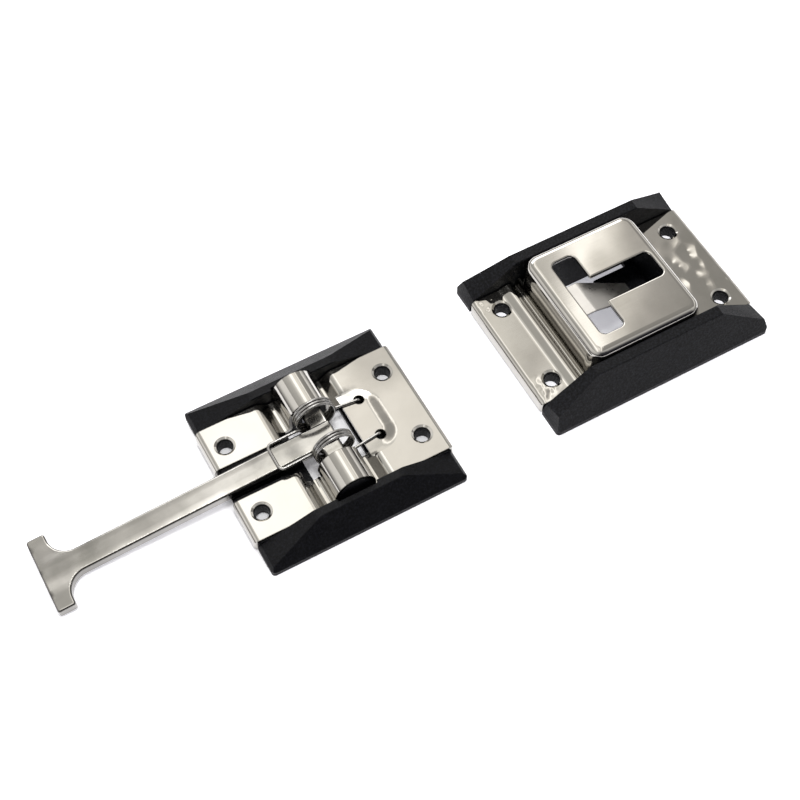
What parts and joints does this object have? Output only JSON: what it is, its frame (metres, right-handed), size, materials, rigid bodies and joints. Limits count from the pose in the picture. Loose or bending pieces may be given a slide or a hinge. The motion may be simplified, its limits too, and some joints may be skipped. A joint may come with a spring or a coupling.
{
  "type": "door catch",
  "caption": "Surface-fixed door catch: sprung T-headed arm on a steel and plastic bracket, with a slotted box keeper that catches the head.",
  "frame": {"origin": "centre of the arm bracket's four screw holes, on the mounting face and under the arm's pivot", "axes": "+Z away from the mounting face, +X from the arm bracket towards the keeper, the arm points to -X at rest, +Y across both halves along the pivot"},
  "size_m": [0.276, 0.0734, 0.0203],
  "materials": {
    "bracket_steel": "polished stainless, mirror-like",
    "keeper_steel": "polished stainless, mirror-like",
    "arm_steel": "polished stainless with softly rounded edges",
    "spring_steel": "bright drawn spring wire",
    "leaf_steel": "satin spring strip",
    "bracket_plastic": "fine-grained black",
    "keeper_plastic": "fine-grained black"
  },
  "bodies": {
    "bracket": {"arm_base": "bracket_plastic", "arm_plate": "bracket_steel", "torsion_spring": "spring_steel", "keeper_base": "keeper_plastic", "keeper_cover": "keeper_steel"},
    "arm": {"t_arm": "arm_steel"},
    "leaf": {"keeper_leaf": "leaf_steel"}
  },
  "joints": [
    {"name": "arm_hinge", "type": "hinge", "parent": "bracket", "child": "arm", "pos_m": [0, 0, 0.008], "axis": [0, 1, 0], "range_deg": [0, 100], "stiffness_Nm_per_rad": 0.05, "springref_deg": -28.65, "deforming": ["torsion_spring"]},
    {"name": "leaf_bend", "type": "hinge", "parent": "bracket", "child": "leaf", "pos_m": [0.1014, 0, 0.0185], "axis": [0, 1, 0], "range_deg": [0, 8], "stiffness_Nm_per_rad": 0.5, "springref_deg": -11.46}
  ]
}
